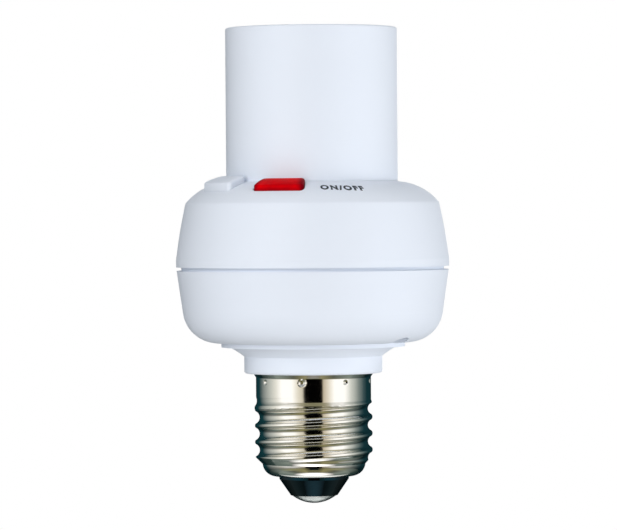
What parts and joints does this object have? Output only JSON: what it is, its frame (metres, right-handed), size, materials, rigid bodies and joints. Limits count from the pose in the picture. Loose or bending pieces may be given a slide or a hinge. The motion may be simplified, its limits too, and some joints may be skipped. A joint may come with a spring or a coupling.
{
  "type": "remote control lamp holder",
  "caption": "Screw-in lamp holder with a threaded cap below, a round body holding a radio switch with push keys on its shoulder, and an open tube above that takes a screw-cap lamp.",
  "frame": {"origin": "tip of the cap's centre contact, on the axis", "axes": "+Z along the axis from the cap to the lamp; the keys are on the -Y side, which faces the viewer"},
  "size_m": [0.0604, 0.0604, 0.1053],
  "materials": {
    "white_moulding": "moulded ABS, fine satin, cool white",
    "red_moulding": "moulded translucent red, polished",
    "nickel_sheet": "nickel-plated sheet, rolled and bright",
    "black_insulator": "moulded black insulator, glossy",
    "liner_moulding": "moulded heat-resistant thermoplastic",
    "bronze_spring": "spring bronze strip, bent",
    "steel_fastener": "zinc-plated steel",
    "board_laminate": "glass laminate with green solder mask",
    "black_moulding": "moulded black component case",
    "yellow_moulding": "moulded yellow capacitor case",
    "blue_coating": "dipped blue coating",
    "red_lens": "cast epoxy lens",
    "tinned_can": "tin-plated folded can",
    "copper_wire": "enamelled copper wire",
    "brown_lead": "extruded wire insulation",
    "blue_lead": "extruded wire insulation"
  },
  "bodies": {
    "housing": {"antenna": "copper_wire", "board_screws": "steel_fastener", "cap_contact": "nickel_sheet", "cap_insulator": "black_insulator", "cap_live_lead": "brown_lead", "cap_neutral_lead": "blue_lead", "cap_shell": "nickel_sheet", "centre_contact": "bronze_spring", "circuit_board": "board_laminate", "controller_chip": "black_moulding", "electrolytic_capacitor": "black_moulding", "film_capacitor": "yellow_moulding", "fusible_resistor": "blue_coating", "housing_screws": "steel_fastener", "indicator_led": "red_lens", "lamp_live_lead": "brown_lead", "lamp_neutral_lead": "blue_lead", "learn_switch": "black_moulding", "lower_housing": "white_moulding", "on_off_switch": "black_moulding", "receiver_board": "board_laminate", "receiver_can": "tinned_can", "receiver_header": "black_moulding", "rectifier": "black_moulding", "relay": "black_moulding", "socket_liner": "liner_moulding", "socket_rivets": "steel_fastener", "socket_shell": "nickel_sheet", "upper_housing": "white_moulding", "varistor": "blue_coating"},
    "on_off_button": {"on_off_key": "red_moulding", "on_off_switch_stem": "black_moulding"},
    "learn_button": {"learn_key": "white_moulding", "learn_switch_stem": "black_moulding"}
  },
  "joints": [
    {"name": "on_off_press", "type": "slide", "parent": "housing", "child": "on_off_button", "axis": [0, 0, -1], "range_m": [0, 0.0005], "stiffness_N_per_m": 2000},
    {"name": "learn_press", "type": "slide", "parent": "housing", "child": "learn_button", "axis": [0, 0, -1], "range_m": [0, 0.0005], "stiffness_N_per_m": 2000}
  ]
}
